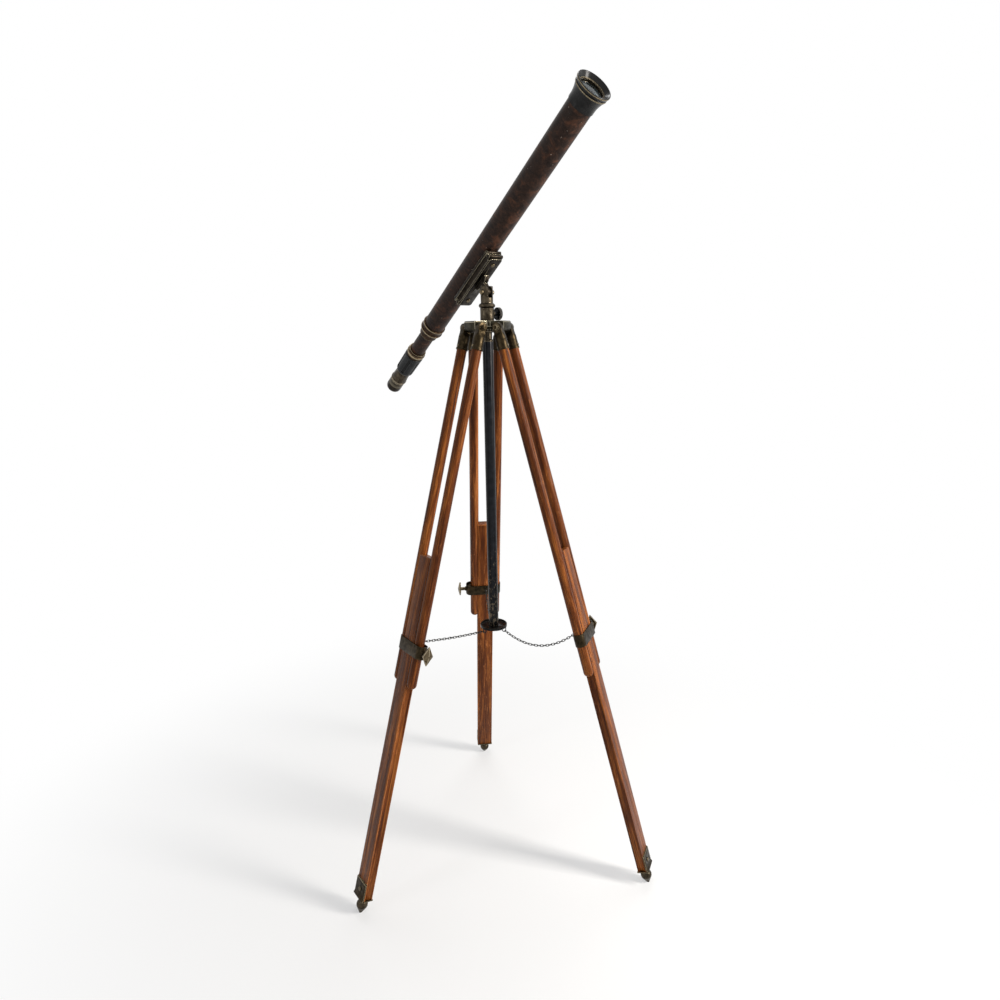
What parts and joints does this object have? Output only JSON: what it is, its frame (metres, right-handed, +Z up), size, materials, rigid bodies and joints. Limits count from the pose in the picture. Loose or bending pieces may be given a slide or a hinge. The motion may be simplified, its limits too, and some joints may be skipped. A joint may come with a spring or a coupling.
{
  "type": "telescope on tripod",
  "caption": "Refracting telescope with a brown tube, tilting and panning on a folding wooden tripod with sliding lower legs, thumbscrew clamps and spreader chains.",
  "frame": {"origin": "middle of the whole outline, on the floor that the feet stand on", "axes": "+Z up, +X the way the telescope aims, seen from above"},
  "size_m": [0.925, 0.7256, 1.9879],
  "materials": {
    "tube_leather": "satin",
    "black_lacquer": "satin",
    "bell_lacquer": "satin",
    "grip_lacquer": "satin",
    "aged_brass": "satin",
    "collar_bronze": "satin",
    "cradle_bronze": "satin",
    "dark_bronze": "satin",
    "bright_brass": "satin",
    "wood": "satin",
    "black_paint": "satin",
    "head_bronze": "satin",
    "chain_steel": "satin",
    "screw_steel": "satin",
    "lens_glass": "gloss"
  },
  "bodies": {
    "tripod_head": {"head_plate": "head_bronze", "column_socket": "aged_brass", "post_ferrule": "aged_brass", "center_post": "black_paint", "chain_hub": "black_paint", "hub_screw": "screw_steel", "chain_1": "chain_steel", "chain_2": "chain_steel", "chain_3": "chain_steel"},
    "fork": {"fork_yoke": "aged_brass", "tilt_bolt": "bright_brass", "tilt_nut": "bright_brass"},
    "pan_knob": {"pan_knob": "black_paint"},
    "telescope": {"saddle_channel": "cradle_bronze", "saddle_strap": "cradle_bronze", "saddle_screws": "bright_brass", "main_tube": "tube_leather", "objective_bell": "bell_lacquer", "objective_lens": "lens_glass", "lens_retaining_ring": "aged_brass", "tube_end_collar": "collar_bronze"},
    "draw": {"draw_tube": "tube_leather", "erector_cell": "black_lacquer", "draw_ring": "collar_bronze", "focus_grip": "grip_lacquer", "eyepiece_barrel": "aged_brass", "eyecup": "cradle_bronze", "eye_lens": "lens_glass"},
    "upper_leg_1": {"leg_brackets_1": "dark_bronze", "leg_dowels_1": "wood", "ferrule_pins_1": "bright_brass", "hinge_bolt_1": "dark_bronze", "clamp_band_1": "dark_bronze"},
    "thumbscrew_1": {"thumbscrew_1": "bright_brass"},
    "lower_leg_1": {"lower_bar_1": "wood", "foot_bracket_1": "dark_bronze", "foot_screw_1": "bright_brass", "foot_1": "aged_brass"},
    "upper_leg_2": {"leg_brackets_2": "dark_bronze", "leg_dowels_2": "wood", "ferrule_pins_2": "bright_brass", "hinge_bolt_2": "dark_bronze", "clamp_band_2": "dark_bronze"},
    "thumbscrew_2": {"thumbscrew_2": "bright_brass"},
    "lower_leg_2": {"lower_bar_2": "wood", "foot_bracket_2": "dark_bronze", "foot_screw_2": "bright_brass", "foot_2": "aged_brass"},
    "upper_leg_3": {"leg_brackets_3": "dark_bronze", "leg_dowels_3": "wood", "ferrule_pins_3": "bright_brass", "hinge_bolt_3": "dark_bronze", "clamp_band_3": "dark_bronze"},
    "thumbscrew_3": {"thumbscrew_3": "bright_brass"},
    "lower_leg_3": {"lower_bar_3": "wood", "foot_bracket_3": "dark_bronze", "foot_screw_3": "bright_brass", "foot_3": "aged_brass"}
  },
  "joints": [
    {"name": "pan", "type": "hinge", "parent": "tripod_head", "child": "fork", "pos_m": [0.04616, 0.10027, 1.5483], "axis": [0, 0, 1], "continuous": true},
    {"name": "pan_lock", "type": "hinge", "parent": "tripod_head", "child": "pan_knob", "pos_m": [0.04616, 0.10027, 1.534], "axis": [0.0279, 0.9996, 0], "range_deg": [0, 360]},
    {"name": "tilt", "type": "hinge", "parent": "fork", "child": "telescope", "pos_m": [0.04616, 0.10027, 1.5858], "axis": [0, -1, 0], "range_deg": [-51, 29]},
    {"name": "draw_slide", "type": "slide", "parent": "telescope", "child": "draw", "axis": [-0.809, 0, -0.5878], "range_m": [-0.065, 0.12]},
    {"name": "leg_hinge_1", "type": "hinge", "parent": "tripod_head", "child": "upper_leg_1", "pos_m": [0.08399, 0.12072, 1.5], "axis": [-0.4756, 0.8796, 0], "range_deg": [0, 13.5], "deforming": ["chain_1"]},
    {"name": "clamp_screw_1", "type": "hinge", "parent": "upper_leg_1", "child": "thumbscrew_1", "pos_m": [0.2753, 0.22416, 0.70626], "axis": [-0.4756, 0.8796, 0], "range_deg": [0, 360]},
    {"name": "leg_slide_1", "type": "slide", "parent": "upper_leg_1", "child": "lower_leg_1", "axis": [-0.2325, -0.1257, 0.9645], "range_m": [-0.17, 0.5]},
    {"name": "leg_hinge_2", "type": "hinge", "parent": "tripod_head", "child": "upper_leg_2", "pos_m": [0.00954, 0.1228, 1.5], "axis": [-0.524, -0.8517, 0], "range_deg": [0, 13.5], "deforming": ["chain_2"]},
    {"name": "clamp_screw_2", "type": "hinge", "parent": "upper_leg_2", "child": "thumbscrew_2", "pos_m": [-0.1757, 0.23676, 0.70626], "axis": [-0.524, -0.8517, 0], "range_deg": [0, 360]},
    {"name": "leg_slide_2", "type": "slide", "parent": "upper_leg_2", "child": "lower_leg_2", "axis": [0.2251, -0.1385, 0.9645], "range_m": [-0.17, 0.5]},
    {"name": "leg_hinge_3", "type": "hinge", "parent": "tripod_head", "child": "upper_leg_3", "pos_m": [0.04496, 0.05728, 1.5], "axis": [0.9996, -0.0279, 0], "range_deg": [0, 13.5], "deforming": ["chain_3"]},
    {"name": "clamp_screw_3", "type": "hinge", "parent": "upper_leg_3", "child": "thumbscrew_3", "pos_m": [0.03889, -0.16012, 0.70626], "axis": [0.9996, -0.0279, 0], "range_deg": [0, 360]},
    {"name": "leg_slide_3", "type": "slide", "parent": "upper_leg_3", "child": "lower_leg_3", "axis": [0.0074, 0.2642, 0.9645], "range_m": [-0.17, 0.5]}
  ]
}
